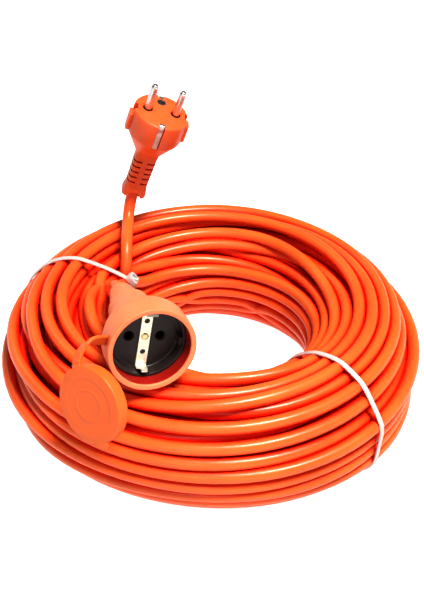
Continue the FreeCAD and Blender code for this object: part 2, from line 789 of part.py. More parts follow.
def build_wiring(prefix, frame, crimp_front, gather, cord_start):
    """Three crimps behind the contacts and three cores that gather into the cord."""
    front = size(crimp_front)
    back = front - size("Size.crimp_length")
    for colour, (side, (end_x, end_y)) in CORES.items():
        x = side * size("Size.pin_spacing") / 2
        ferrule = doc.addObject("Part::Cylinder", "Crimp")
        bind(ferrule, Radius="Size.crimp_radius", Height="Size.crimp_length")
        seat = FreeCAD.Placement(Vector(x, 0, back), FreeCAD.Rotation())
        keep("%s_crimp_%s" % (prefix, colour), ferrule, frame.multiply(seat))
        route = [(x, 0, back), (x, 0, back - 3), (end_x, end_y, back - gather)]
        route.append((end_x, end_y, cord_start))
        core = tube(route, size("Size.core_diameter"))
        solid_feature("%s_core_%s" % (prefix, colour), core, frame)


def build_all():
    socket = pose(*SOCKET_POSE)
    plug = pose(*PLUG_POSE)
    coil = build_coil()
    for tie in TIES:
        build_tie(tie)
    doc.recompute()
    build_leads(coil)
    build_plug_body(plug)
    build_plug_bridge(plug)
    build_pin("pin_line", 1, plug)
    build_pin("pin_neutral", -1, plug)
    build_plug_earth(plug)
    build_wiring("plug", plug, "-Size.shank_length", 15, PLUG_CORD_START)
    build_socket_body(socket)
    build_socket_insert(socket)
    build_contact("contact_line", 1, socket)
    build_contact("contact_neutral", -1, socket)
    build_socket_earth(socket)
    build_rear_cover(socket)
    build_relief(socket)
    build_wiring("socket", socket, "-Size.block_end", 9.5, SOCKET_CORD_START)
    lid = lid_placement(socket)
    build_lid(lid)
    build_strap(socket, lid)
    doc.recompute()


def check_objects():
    for item in doc.Objects:
        if "Invalid" in item.State or "Error" in item.State:
            raise RuntimeError("%s: %s" % (item.Name, item.State))
    for node, item in PARTS.items():
        if item.Shape.isNull() or not item.Shape.isValid():
            raise RuntimeError("bad shape: " + node)


def export_parts():
    os.makedirs("parts", exist_ok=True)
    for node, item in PARTS.items():
        item.Shape.exportStep("parts/%s.step" % node)
        box = item.Shape.BoundBox
        print("%-24s solids %d volume %9.0f z %.1f..%.1f" % (
            node, len(item.Shape.Solids), item.Shape.Volume, box.ZMin, box.ZMax))


build_all()
check_objects()
export_parts()
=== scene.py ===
import bmesh
import bpy
import math
import numpy as np
from mathutils import Matrix, Vector


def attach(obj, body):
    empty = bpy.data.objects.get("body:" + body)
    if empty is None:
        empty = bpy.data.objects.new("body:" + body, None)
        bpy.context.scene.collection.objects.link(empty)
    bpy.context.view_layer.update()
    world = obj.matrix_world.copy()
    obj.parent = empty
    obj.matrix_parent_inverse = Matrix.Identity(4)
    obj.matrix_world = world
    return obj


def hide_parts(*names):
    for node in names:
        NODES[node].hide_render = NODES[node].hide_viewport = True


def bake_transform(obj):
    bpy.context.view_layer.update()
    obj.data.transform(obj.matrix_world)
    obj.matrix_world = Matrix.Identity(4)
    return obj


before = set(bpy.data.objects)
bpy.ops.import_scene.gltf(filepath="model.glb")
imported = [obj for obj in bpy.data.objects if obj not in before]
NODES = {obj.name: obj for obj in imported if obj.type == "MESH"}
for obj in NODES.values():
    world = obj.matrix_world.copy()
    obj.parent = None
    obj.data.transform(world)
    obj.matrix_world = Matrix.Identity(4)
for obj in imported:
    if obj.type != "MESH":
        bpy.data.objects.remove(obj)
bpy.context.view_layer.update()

# ------------------------------------------------------------------ cord and coil, metres
CORD = 0.008
COIL_RADIUS = 0.099
COIL_HALF_WIDTH = 0.040
COIL_HALF_HEIGHT = 0.043
COIL_CENTRE = 0.043
TURNS = 64
STATIONS = 30
FIRST_AZIMUTH = math.radians(160)
SETTLING_STEPS = 380
SWELL = 0.0035
SINK = 0.00002
# Each shell of the section: its turns, and how far out it lies.
SHELLS = ((1, 0.0), (5, 0.20), (11, 0.42), (20, 0.71), (27, 1.0))
LAST_ANGLE = 141

PLUG_LEAD = [
    (-0.0552, 0.0850, 0.1176),
    (-0.0579, 0.0864, 0.1095),
    (-0.0598, 0.0846, 0.1018),
    (-0.0607, 0.0796, 0.0957),
    (-0.0609, 0.0724, 0.0920),
    (-0.0608, 0.0642, 0.0909),
    (-0.0606, 0.0560, 0.0887),
    (-0.0605, 0.0490, 0.0838),
    (-0.0608, 0.0436, 0.0770),
    (-0.0614, 0.0396, 0.0690),
]
SOCKET_LEAD = [
    (-0.05586, -0.03268, 0.10623),
    (-0.0591, -0.0233, 0.1050),
    (-0.0620, -0.0142, 0.1011),
    (-0.0642, -0.0068, 0.0946),
    (-0.0656, -0.0006, 0.0868),
    (-0.0666, 0.0072, 0.0803),
    (-0.0669, 0.0168, 0.0762),
    (-0.0656, 0.0266, 0.0722),
]

# Where the coil strays from a true ring: the heading of the middle of each
# bulge or dent, its spread in degrees, and how far it moves the section's
# middle outwards and widens it, in metres. A wider section is also lower.
BULGES = ((-22, 34, 0.0105, 0.0040), (-108, 34, -0.0050, 0.0), (44, 34, -0.0025, -0.0030))
COIL_SHIFT = Vector((-0.0025, 0.0045, 0))

# How freely the turns wander: a little everywhere, and more about one heading.
WANDER_EVERYWHERE = 0.24
WANDER_EXTRA = 0.62
WANDER_HEADING = 166
WANDER_SPREAD = 63
ANGLE_SEED = 11
FRACTION_SEED = 8

# Each tie: heading, skew from the radial plane, share of the section's width
# that it draws in, and the direction of its head from the section's middle.
# All but the share are in degrees.
TIES = {
    "left": (156.0, 14.0, 0.05, 143.0),
    "right": (-42.5, 0.0, 0.03, -130.0),
}
TIE_SPREAD = 16
TIE_WIDTH = 0.0036
TIE_THICKNESS = 0.0013
TIE_HEAD = (0.0082, 0.0086, 0.0056)
SIDEWAYS = Vector((0, 1, 0))

# ------------------------------------------------------------------ connectors
MM = 0.001
PIN_SPACING = 19.0
PIN_RADIUS = 2.4
PIN_LENGTH = 19.0
MOUTH_RADIUS = 22.8
COLLAR_RADIUS = 26.0
COLLAR_LENGTH = 21.0
GROOVE_DEPTH = 1.7
COVER_END = 54.0
SOCKET_LENGTH = 74.0
INSERT_RADIUS = 22.5
INSERT_EDGE = 9.5
CUP_RADIUS = 20.8
CUP_FLOOR = 17.5
BLOCK_RADIUS = 14.5
BLOCK_END = 37.0
RELIEF_RADIUS = 11.2
RELIEF_TAPER = 4.6
LID_RADIUS = 22.5
LID_THICKNESS = 7.6
LID_TOP = 2.4
LID_GAP = 0.8
LID_TURN = 3.0
LID_SWING = 80.0
STRAP_WIDTH = 6.2
STRAP_THICKNESS = 2.0
STRAP_STEPS = 40
STRAP_SPLIT = 27
SWING_POINT = Vector((-39.0, 14.5, 6.0))
SWING_HEADING = 120.0
SWING_ELEVATION = 43.0
PLUG_RADIUS = 18.5
PLUG_FRONT = 18.0
PLUG_LENGTH = 72.0
EARTH_HOLE = 10.0
LUG_HEIGHT = 1.7


def frame_at(centre, heading, elevation, turn):
    """Matrix from a connector's own millimetres, +Z out of its face, to the row frame."""
    spin = Matrix.Rotation(math.radians(heading), 4, "Z")
    spin @= Matrix.Rotation(math.radians(90 - elevation), 4, "Y")
    spin @= Matrix.Rotation(math.radians(turn), 4, "Z")
    return Matrix.Translation(Vector(centre)) @ spin @ Matrix.Scale(MM, 4)


def swing_direction():
    flat = math.cos(math.radians(SWING_ELEVATION))
    heading = math.radians(SWING_HEADING)
    rise = math.sin(math.radians(SWING_ELEVATION))
    return Vector((flat * math.cos(heading), flat * math.sin(heading), rise))


def open_lid():
    """Matrix of the lid as it hangs open, turned back about the strap's fold."""
    turn = Matrix.Rotation(-math.radians(LID_SWING), 4, swing_direction())
    swing = Matrix.Translation(SWING_POINT) @ turn @ Matrix.Translation(-SWING_POINT)
    closed = Matrix.Translation((0, 0, LID_THICKNESS + LID_GAP))
    return SOCKET @ swing @ closed @ Matrix.Rotation(math.radians(LID_TURN), 4, "Z")


SOCKET = frame_at((-0.0339, -0.0965, 0.1145), -71.0, 7.0, 77.5)
PLUG = frame_at((-0.0341, 0.0743, 0.1792), -27.0, 69.0, 31.5)
LID = open_lid()


# ------------------------------------------------------------------ camera, light and floor
CAMERA_PLACE = (0, -0.5322, 0.4663)
CAMERA_DIP = 36.01
LENS = 60
SENSOR_WIDTH = 36
FLOOR_REACH = 40
GAMMA = 0.72
# Each lamp: its place, its size and its power.
LAMPS = {
    "key": ((0.42, -0.48, 1.60), 0.42, 58),
    "fill": ((-0.4, -1.6, 1.0), 0.8, 8),
    "rim": ((-0.9, 0.9, 1.0), 0.7, 3),
}
LAMP_TARGET = Vector((0, 0, 0.05))


def build_camera():
    data = bpy.data.cameras.new("camera")
    data.lens = LENS
    data.sensor_width = SENSOR_WIDTH
    data.shift_x = -0.0025
    camera = bpy.data.objects.new("camera", data)
    camera.location = CAMERA_PLACE
    camera.rotation_euler = (math.radians(90 - CAMERA_DIP), 0, 0)
    bpy.context.collection.objects.link(camera)
    bpy.context.scene.camera = camera


def build_lamp(name, place, size, power):
    data = bpy.data.lights.new(name, "AREA")
    data.size = size
    data.energy = power
    lamp = bpy.data.objects.new(name, data)
    lamp.location = place
    aim = LAMP_TARGET - Vector(place)
    lamp.rotation_euler = aim.to_track_quat("-Z", "Y").to_euler()
    bpy.context.collection.objects.link(lamp)


def build_stage():
    """Pale floor, pale world and three lamps."""
    settings = bpy.context.scene.view_settings
    settings.view_transform = "Standard"
    settings.gamma = GAMMA
    build_floor()
    build_world()
    for name, (place, size, power) in LAMPS.items():
        build_lamp(name, place, size, power)


def build_floor():
    """Floor that gives off its own light, so that shadows on it stay pale."""
    mesh = bpy.data.meshes.new("floor")
    reach = FLOOR_REACH
    corners = [(-reach, -reach, 0), (reach, -reach, 0), (reach, reach, 0), (-reach, reach, 0)]
    mesh.from_pydata(corners, [], [(0, 1, 2, 3)])
    floor = bpy.data.objects.new("floor", mesh)
    bpy.context.collection.objects.link(floor)
    paper = plastic("floor_paper", (0.30, 0.30, 0.30), roughness=0.8, grain=300, bump=0.02, shade=0.99)
    shader = paper.node_tree.nodes["Principled BSDF"]
    shader.inputs["Emission Color"].default_value = (1, 1, 1, 1)
    shader.inputs["Emission Strength"].default_value = 1.0
    mesh.materials.append(paper)


def build_world():
    """White light from all round, strong at the horizon and weak overhead."""
    scene = bpy.context.scene
    world = scene.world or bpy.data.worlds.new("studio")
    scene.world = world
    world.use_nodes = True
    nodes = world.node_tree.nodes
    links = world.node_tree.links
    nodes["Background"].inputs["Color"].default_value = (1, 1, 1, 1)
    split = nodes.new("ShaderNodeSeparateXYZ")
    links.new(nodes.new("ShaderNodeTexCoord").outputs["Generated"], split.inputs[0])
    height = nodes.new("ShaderNodeMapRange")
    height.inputs["From Min"].default_value = 0.06
    height.inputs["From Max"].default_value = 0.20
    height.inputs["To Min"].default_value = 1.0
    height.inputs["To Max"].default_value = 0.10
    links.new(split.outputs["Z"], height.inputs["Value"])
    links.new(height.outputs["Result"], nodes["Background"].inputs["Strength"])


# ------------------------------------------------------------------ materials
GLOSS_SPREAD = 0.10
GRAIN_HEIGHT = 0.0004


def mix_node(nodes, links, factor, low, high):
    """Colour between low and high; either one can be linked to afterwards."""
    mix = nodes.new("ShaderNodeMix")
    mix.data_type = "RGBA"
    mix.inputs[6].default_value = (*low, 1)
    mix.inputs[7].default_value = (*high, 1)
    links.new(factor, mix.inputs[0])
    return mix.outputs[2]


def ramp(nodes, links, source, low, high):
    """Value of a texture stretched so that low becomes 0 and high becomes 1."""
    stretch = nodes.new("ShaderNodeMapRange")
    stretch.inputs["From Min"].default_value = low
    stretch.inputs["From Max"].default_value = high
    links.new(source, stretch.inputs["Value"])
    return stretch.outputs["Result"]


def noise(nodes, links, place, scale, detail=3):
    texture = nodes.new("ShaderNodeTexNoise")
    texture.inputs["Scale"].default_value = scale
    texture.inputs["Detail"].default_value = detail
    links.new(place, texture.inputs["Vector"])
    return texture.outputs["Fac"]


def plastic(name, colour, roughness=0.4, grain=1500, bump=0.05, shade=0.86, cloud=45,
            metallic=0.0, through=0.0, ior=1.42, wear=0.35):
    """Surface with cloudy colour, uneven gloss, a fine grain and paler worn edges."""
    material = bpy.data.materials.new(name)
    material.use_nodes = True
    nodes = material.node_tree.nodes
    links = material.node_tree.links
    shader = nodes["Principled BSDF"]
    shader.inputs["Metallic"].default_value = metallic
    shader.inputs["IOR"].default_value = ior
    shader.inputs["Subsurface Weight"].default_value = through
    shader.inputs["Subsurface Scale"].default_value = 0.002
    place = nodes.new("ShaderNodeTexCoord").outputs["Object"]
    clouds = ramp(nodes, links, noise(nodes, links, place, cloud), 0.35, 0.65)
    darker = tuple(part * shade for part in colour)
    base = mix_node(nodes, links, clouds, darker, colour)
    geometry = nodes.new("ShaderNodeNewGeometry")
    edges = ramp(nodes, links, geometry.outputs["Pointiness"], 0.53, 0.62)
    amount = nodes.new("ShaderNodeMath")
    amount.operation = "MULTIPLY"
    amount.inputs[1].default_value = wear
    links.new(edges, amount.inputs[0])
    paler = tuple(min(1, part * 1.25 + 0.04) for part in colour)
    worn = mix_node(nodes, links, amount.outputs[0], colour, paler)
    links.new(base, worn.node.inputs[6])
    links.new(worn, shader.inputs["Base Color"])
    gloss = nodes.new("ShaderNodeMapRange")
    gloss.inputs["To Min"].default_value = max(0.05, roughness - GLOSS_SPREAD)
    gloss.inputs["To Max"].default_value = roughness + GLOSS_SPREAD
    links.new(noise(nodes, links, place, cloud * 4), gloss.inputs["Value"])
    links.new(gloss.outputs["Result"], shader.inputs["Roughness"])
    relief = nodes.new("ShaderNodeBump")
    relief.inputs["Strength"].default_value = bump
    relief.inputs["Distance"].default_value = GRAIN_HEIGHT
    links.new(noise(nodes, links, place, grain, 5), relief.inputs["Height"])
    links.new(relief.outputs["Normal"], shader.inputs["Normal"])
    return material


def paint_gap_shade(material, gap_shade_colour, distance):
    """Painted shade: darker, redder colour where ambient occlusion finds the surface hemmed in by its
    neighbours.
    """
    nodes = material.node_tree.nodes
    links = material.node_tree.links
    shader = nodes["Principled BSDF"]
    unshaded_colour = shader.inputs["Base Color"].links[0].from_socket
    occlusion = nodes.new("ShaderNodeAmbientOcclusion")
    occlusion.samples = 6
    occlusion.inputs["Distance"].default_value = distance
    unshaded_share = ramp(nodes, links, occlusion.outputs["AO"], 0.28, 0.98)
    colour = mix_node(nodes, links, unshaded_share, gap_shade_colour, gap_shade_colour)
    links.new(unshaded_colour, colour.node.inputs[7])
    links.new(colour, shader.inputs["Base Color"])


def build_materials():
    """Every material by a plain name, with painted shade in the gaps of the orange ones."""
    palette = {
        "sheath": plastic("cord_sheath", (0.86, 0.150, 0.030), 0.32,
                          grain=900, bump=0.10, shade=0.80, cloud=26),
        "housing": plastic("housing_pvc", (0.84, 0.245, 0.110), 0.46,
                           grain=1400, bump=0.12, shade=0.90, through=0.05),
        # Dark red for the sheet inside the socket's mouth: painted shade of the housing plastic.
        "inner": plastic("housing_painted_shade", (0.34, 0.012, 0.006), 0.42, bump=0.06),
        "lid": plastic("lid_pvc", (0.72, 0.145, 0.027), 0.44,
                       grain=1300, bump=0.10, shade=0.92, through=0.05, wear=0.0),
        "plug": plastic("plug_pvc", (0.74, 0.130, 0.034), 0.40,
                        grain=1300, bump=0.10, shade=0.88, through=0.05),
        "insulator": plastic("black_insulator", (0.045, 0.031, 0.027), 0.36,
                             grain=1100, bump=0.16, shade=0.6, wear=0.0),
        "nylon": plastic("white_nylon", (0.52, 0.46, 0.43), 0.34,
                         grain=700, bump=0.08, shade=0.95, through=0.25),
        "nickel": plastic("nickel_plate", (0.72, 0.66, 0.63), 0.29,
                          grain=600, bump=0.10, shade=0.90, metallic=0.95),
        "strip": plastic("earth_strip_metal", (0.90, 0.84, 0.66), 0.34,
                         grain=500, bump=0.14, shade=0.86, metallic=0.75),
        "brass": plastic("rivet_brass", (0.84, 0.70, 0.40), 0.38,
                         grain=900, bump=0.12, shade=0.75, metallic=1.0),
        # Near-black contacts: painted shade deep in the pin holes, not the contacts' own metal colour.
        "tarnished": plastic("tarnished_brass", (0.010, 0.007, 0.005), 0.7,
                             bump=0.15, ior=1.08, wear=0.0),
        "core_brown": plastic("core_brown", (0.10, 0.035, 0.015), 0.35),
        "core_blue": plastic("core_blue", (0.03, 0.12, 0.45), 0.35),
        "core_earth": two_tone("core_green_yellow", (0.08, 0.35, 0.05), (0.80, 0.62, 0.03)),
    }
    # Painted shade: the cord, housing and plug darken towards these colours in their gaps and creases.
    paint_gap_shade(palette["sheath"], (0.80, 0.010, 0.001), 0.012)
    paint_gap_shade(palette["housing"], (0.30, 0.018, 0.008), 0.005)
    paint_gap_shade(palette["plug"], (0.45, 0.020, 0.004), 0.004)
    return palette


def two_tone(name, first, second):
    """Plastic in two colours that wind round an earth core."""
    material = plastic(name, second, 0.35)
    nodes = material.node_tree.nodes
    links = material.node_tree.links
    wave = nodes.new("ShaderNodeTexWave")
    wave.inputs["Scale"].default_value = 90
    place = nodes.new("ShaderNodeTexCoord").outputs["Object"]
    links.new(place, wave.inputs["Vector"])
    stripes = ramp(nodes, links, wave.outputs["Fac"], 0.45, 0.55)
    links.new(mix_node(nodes, links, stripes, first, second), nodes["Principled BSDF"].inputs["Base Color"])
    return material


# ------------------------------------------------------------------ mesh tools
def rounded(corners, closed=True, steps=5):
    """Outline of (x, y, radius) corners, each with a curve of about that radius."""
    count = len(corners)
    points = []
    for index, (x, y, radius) in enumerate(corners):
        corner = Vector((x, y))
        before = Vector(corners[index - 1][:2]) - corner
        after = Vector(corners[(index + 1) % count][:2]) - corner
        end = not closed and index in (0, count - 1)
        if end or radius <= 0:
            points.append(corner)
            continue
        trim = min(radius, before.length * 0.45, after.length * 0.45)
        start = corner + before.normalized() * trim
        finish = corner + after.normalized() * trim
        for step in range(steps + 1):
            share = step / steps
            points.append(start * (1 - share) ** 2 + corner * 2 * share * (1 - share) + finish * share ** 2)
    return [(point.x, point.y) for point in points]


def skin(bm, rings, loop=False):
    """Faces between rings of vertices, capped unless the last ring meets the first."""
    count = len(rings[0])
    pairs = list(zip(rings, rings[1:]))
    if loop:
        pairs.append((rings[-1], rings[0]))
    for low, high in pairs:
        for index in range(count):
            following = (index + 1) % count
            bm.faces.new((low[index], low[following], high[following], high[index]))
    if not loop:
        bm.faces.new(list(reversed(rings[0])))
        bm.faces.new(rings[-1])


def lathe(profile, segments=96):
    """Closed outline of (radius, height) pairs turned about the Z axis."""
    bm = bmesh.new()
    rings = []
    for index in range(segments):
        angle = 2 * math.pi * index / segments
        rings.append([bm.verts.new((r * math.cos(angle), r * math.sin(angle), z)) for r, z in profile])
    skin(bm, rings, loop=True)
    bmesh.ops.remove_doubles(bm, verts=bm.verts, dist=1e-5)
    return bm


def loft(sections):
    """Closed solid through outlines of equal count, each a list of points."""
    bm = bmesh.new()
    rings = [[bm.verts.new(point) for point in section] for section in sections]
    skin(bm, rings)
    return bm


def band(path, across, width, thickness, loop=False, widths=None):
    """Flat strip with eased edges along a path, its width along the vectors across."""
    bm = bmesh.new()
    rings = []
    count = len(path)
    ease = min(0.3 * thickness, 0.2 * width)
    for index, point in enumerate(path):
        before = path[index - 1] if loop or index else point
        after = path[(index + 1) % count] if loop or index < count - 1 else point
        along = (after - before).normalized()
        normal = along.cross(across[index]).normalized()
        side = normal.cross(along)
        w = (widths[index] if widths else width) / 2
        t = thickness / 2
        outline = [(w - ease, t), (w, t - ease), (w, ease - t), (w - ease, -t)]
        outline += [(-u, -v) for u, v in outline]
        rings.append([bm.verts.new(point + side * u + normal * v) for u, v in outline])
    skin(bm, rings, loop=loop)
    return bm


def piece(name, bm, matrix, material, body="cord_set", replaces=(), smooth=35):
    """Finished mesh object that rides on a body."""
    bmesh.ops.recalc_face_normals(bm, faces=bm.faces)
    mesh = bpy.data.meshes.new(name)
    bm.to_mesh(mesh)
    bm.free()
    mesh.transform(matrix)
    mesh.shade_smooth()
    mesh.set_sharp_from_angle(angle=math.radians(smooth))
    mesh.materials.append(material)
    item = bpy.data.objects.new(name, mesh)
    bpy.context.collection.objects.link(item)
    if replaces:
        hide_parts(*replaces)
    if body:
        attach(item, body)
    return item


def prism(outline, low, high):
    """Closed solid of an (x, y) outline between two heights."""
    return loft([[(x, y, z) for x, y in outline] for z in (low, high)])


def disc(radius, x=0.0, y=0.0, count=48):
    """Circle of points about (x, y)."""
    turns = [2 * math.pi * index / count for index in range(count)]
    return [(x + radius * math.cos(turn), y + radius * math.sin(turn)) for turn in turns]


def block(x, y, radius=0.0):
    """Rounded rectangle between pairs of low and high sides."""
    corners = ((x[0], y[0]), (x[1], y[0]), (x[1], y[1]), (x[0], y[1]))
    return rounded([(u, v, radius) for u, v in corners])


def carve(bm, cutters):
    """The mesh with closed cutter meshes taken out of it."""
    base = temporary(bm)
    tools = [temporary(cutter) for cutter in cutters]
    for tool in tools:
        modifier = base.modifiers.new("cut", "BOOLEAN")
        modifier.operation = "DIFFERENCE"
        modifier.solver = "EXACT"
        modifier.object = tool
    result = bmesh.new()
    result.from_object(base, bpy.context.evaluated_depsgraph_get())
    for item in [base] + tools:
        bpy.data.meshes.remove(item.data)
    return result


def temporary(bm):
    """Scratch object that a boolean can work on."""
    bmesh.ops.recalc_face_normals(bm, faces=bm.faces)
    mesh = bpy.data.meshes.new("scratch")
    bm.to_mesh(mesh)
    bm.free()
    item = bpy.data.objects.new("scratch", mesh)
    bpy.context.collection.objects.link(item)
    return item


def join(first, *others):
    """One mesh of several closed shells."""
    for other in others:
        mesh = bpy.data.meshes.new("scratch")
        other.to_mesh(mesh)
        other.free()
        first.from_mesh(mesh)
        bpy.data.meshes.remove(mesh)
    return first


def shifted(bm, x=0.0, y=0.0, z=0.0):
    bmesh.ops.translate(bm, verts=bm.verts, vec=(x, y, z))
    return bm


# ------------------------------------------------------------------ coil
def shell_positions():
    """Places of the turns in the section, wound from its middle outwards."""
    places = []
    angle = 0.0
    for count, fraction in SHELLS:
        for _ in range(count):
            places.append((fraction, angle))
            angle += 2 * math.pi / count
    last = math.radians(LAST_ANGLE)
    final_step = 2 * math.pi / SHELLS[-1][0]
    return [(fraction, turn - angle + final_step + last) for fraction, turn in places]


def wander(along, seed, size):
    """Smooth uneven drift along the cord, in turns."""
    rng = np.random.default_rng(seed)
    drift = np.zeros_like(along)
    for rate in (0.23, 0.41, 0.67, 0.93, 1.31):
        drift += np.sin(2 * math.pi * (rate * along + rng.random())) * size / (0.7 + rate)
    return drift


def near(azimuth, heading, spread):
    """Smooth bump about a heading: 1 there, falling to nothing either side."""
    away = np.angle(np.exp(1j * (azimuth - math.radians(heading))))
    return np.exp(-((away / math.radians(spread)) ** 2))


def section_limits(azimuth):
    """Middle radius, half width and half height that the cord's centre may reach."""
    radius = np.full_like(azimuth, COIL_RADIUS)
    half_width = (COIL_HALF_WIDTH - CORD / 2) * (1 - 0.05 * np.cos(azimuth - math.radians(55)))
    half_height = np.full_like(azimuth, COIL_HALF_HEIGHT - CORD / 2)
    for heading, spread, outwards, wider in BULGES:
        bump = near(azimuth, heading, spread)
        radius += outwards * bump
        half_width += wider * bump
        half_height -= wider * bump * 0.5
    for heading, _, waist, _ in TIES.values():
        squeeze = waist * near(azimuth, heading, TIE_SPREAD)
        half_width *= 1 - squeeze
        half_height *= 1 - squeeze * 0.6
    return radius, half_width, half_height


def start_positions(azimuth, along):
    """Middle of the cord at every station, before the turns settle."""
    places = shell_positions()
    turn = np.floor(along).astype(int)
    following = np.minimum(turn + 1, TURNS - 1)
    share = along - turn
    fraction = np.array([place[0] for place in places])
    angle = np.array([place[1] for place in places])
    fraction = fraction[turn] * (1 - share) + fraction[following] * share
    angle = angle[turn] * (1 - share) + angle[following] * share
    unruly = WANDER_EVERYWHERE + WANDER_EXTRA * near(azimuth, WANDER_HEADING, WANDER_SPREAD)
    unruly *= np.clip(np.minimum(along, TURNS - along) / 1.5, 0, 1)
    angle = angle + wander(along, ANGLE_SEED, 0.40) * unruly
    fraction = fraction + wander(along, FRACTION_SEED, 0.10) * unruly
    radius, half_width, half_height = section_limits(azimuth)
    points = np.empty((len(along), 2))
    points[:, 0] = radius + half_width * fraction * np.cos(angle)
    points[:, 1] = COIL_CENTRE + half_height * fraction * np.sin(angle)
    return points


def push_apart(points, gap, strength):
    """Move the turns that overlap at each azimuth away from each other."""
    grid = points.reshape(TURNS, STATIONS, 2)
    offset = grid[:, None] - grid[None, :]
    distance = np.sqrt((offset ** 2).sum(-1)) + 1e-9
    overlap = np.clip(gap - distance, 0, None)
    overlap[np.arange(TURNS), np.arange(TURNS)] = 0
    move = (offset / distance[..., None] * overlap[..., None]).sum(1) * strength
    return (grid + move).reshape(-1, 2)


def keep_inside(points, limits):
    """Draw points in to the section's limits, and up off the floor."""
    radius, half_width, half_height = limits
    across = (points[:, 0] - radius) / half_width
    up = (points[:, 1] - COIL_CENTRE) / half_height
    reach = np.maximum(np.hypot(across, up), 1)
    points[:, 0] = radius + half_width * across / reach
    points[:, 1] = np.maximum(COIL_CENTRE + half_height * up / reach, CORD * 0.51)
    return points


def wind_coil():
    """Centre line of the coil: every turn settles against its neighbours."""
    count = TURNS * STATIONS
    along = np.arange(count) / STATIONS
    azimuth = FIRST_AZIMUTH + 2 * math.pi * along
    points = start_positions(azimuth, along)
    limits = section_limits(azimuth)
    pinned = {
        0: (0.0715, 0.0625),
        1: (0.0745, 0.0570),
        count - 2: (0.0650, 0.0590),
        count - 1: (0.0650, 0.0660),
    }
    for step in range(SETTLING_STEPS):
        late = step / SETTLING_STEPS
        softness = 0.32 * (1 - late) + 0.10
        middle = (points[:-2] + points[2:]) / 2
        points[1:-1] += (middle - points[1:-1]) * softness
        outward = points - np.stack([limits[0], np.full(count, COIL_CENTRE)], axis=1)
        points += outward * SWELL * (1 - late)
        points[:, 1] -= SINK
        for _ in range(2):
            points = push_apart(points, CORD * 1.03, 0.33)
            points = keep_inside(points, limits)
        for index, place in pinned.items():
            points[index] = place
    spread = 0.75 + 0.25 * math.cos(2 * math.pi / STATIONS)
    x = points[:, 0] / spread * np.cos(azimuth) + COIL_SHIFT.x
    y = points[:, 0] / spread * np.sin(azimuth) + COIL_SHIFT.y
    return np.stack([x, y, points[:, 1]], axis=1)


def build_cord(material):
    """The whole cord as one spline, and the points that its middle line passes."""
    route = [Vector(p) for p in PLUG_LEAD]
    route += [Vector(p) for p in wind_coil()]
    route += [Vector(p) for p in reversed(SOCKET_LEAD)]
    curve = bpy.data.curves.new("cord", "CURVE")
    curve.dimensions = "3D"
    spline = curve.splines.new("NURBS")
    spline.points.add(len(route) - 1)
    for point, place in zip(spline.points, route):
        point.co = (*place, 1)
    spline.order_u = 3
    spline.use_endpoint_u = True
    spline.resolution_u = 3
    cord = bpy.data.objects.new("cord", curve)
    bpy.context.collection.objects.link(cord)
    curve.materials.append(material)
    line = bpy.data.meshes.new_from_object(cord)
    centres = np.array([vertex.co for vertex in line.vertices])
    bpy.data.meshes.remove(line)
    curve.bevel_depth = CORD / 2
    curve.bevel_resolution = 6
    curve.use_fill_caps = True
    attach(cord, "cord_set")
    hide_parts("cord_coil", "cord_plug_lead", "cord_socket_lead")
    return centres


# ------------------------------------------------------------------ cable ties
def strands_at(centres, plane):
    """Where the cord crosses a tie's plane, as points across and up in that plane."""
    local = centres @ np.array(plane.to_3x3()) + np.array(plane.inverted().translation)
    crossed = local[:-1, 1] * local[1:, 1] <= 0
    low, high = local[:-1][crossed], local[1:][crossed]
    share = low[:, 1] / (low[:, 1] - high[:, 1] + 1e-12)
    places = low + (high - low) * share[:, None]
    return places[(places[:, 0] > -0.06) & (places[:, 0] < 0.06)][:, [0, 2]]


def hull(points):
    """Convex outline of a set of points, anticlockwise."""
    ordered = sorted(map(tuple, points))
    chain = []
    for sweep in (ordered, ordered[::-1]):
        side = []
        for point in sweep:
            while len(side) > 1 and turn_of(side[-2], side[-1], point) <= 0:
                side.pop()
            side.append(point)
        chain += side[:-1]
    return chain


def turn_of(a, b, c):
    return (b[0] - a[0]) * (c[1] - a[1]) - (b[1] - a[1]) * (c[0] - a[0])


def ease_outline(outline, count, rounds):
    """Closed outline as evenly spaced points, its corners eased a little."""
    closed = np.array(outline + outline[:1])
    lengths = np.linalg.norm(np.diff(closed, axis=0), axis=1)
    reached = np.concatenate([[0], np.cumsum(lengths)])
    wanted = np.linspace(0, reached[-1], count, endpoint=False)
    points = np.stack([np.interp(wanted, reached, closed[:, axis]) for axis in (0, 1)], axis=1)
    for _ in range(rounds):
        points = (np.roll(points, 1, axis=0) + 2 * points + np.roll(points, -1, axis=0)) / 4
    middle = points.mean(axis=0)
    outwards = points - middle
    return points + outwards / np.linalg.norm(outwards, axis=1)[:, None] * 0.0004


def tie_loop(centres, plane):
    """Closed path tight round the strands that cross a tie's plane."""
    strands = strands_at(centres, plane)
    reach = CORD / 2 + TIE_THICKNESS / 2
    ring = disc(reach, count=40)
    outline = hull([(x + u, z + v) for x, z in strands for u, v in ring])
    return [Vector((x, 0, max(z, TIE_THICKNESS / 2))) for x, z in ease_outline(outline, 160, 14)]


def head_seat(path, head_angle):
    """Matrix of the place on a tie's path where its head sits, +Z outwards."""
    middle = sum(path, Vector()) / len(path)
    wanted = Vector((math.cos(math.radians(head_angle)), 0, math.sin(math.radians(head_angle))))
    seat = max(path, key=lambda point: (point - middle).normalized().dot(wanted))
    index = path.index(seat)
    along = (path[(index + 1) % len(path)] - path[index - 1]).normalized()
    outwards = along.cross(SIDEWAYS).normalized()
    if outwards.dot(seat - middle) < 0:
        outwards = -outwards
    axes = Matrix((along, outwards.cross(along), outwards)).transposed().to_4x4()
    return Matrix.Translation(seat) @ axes


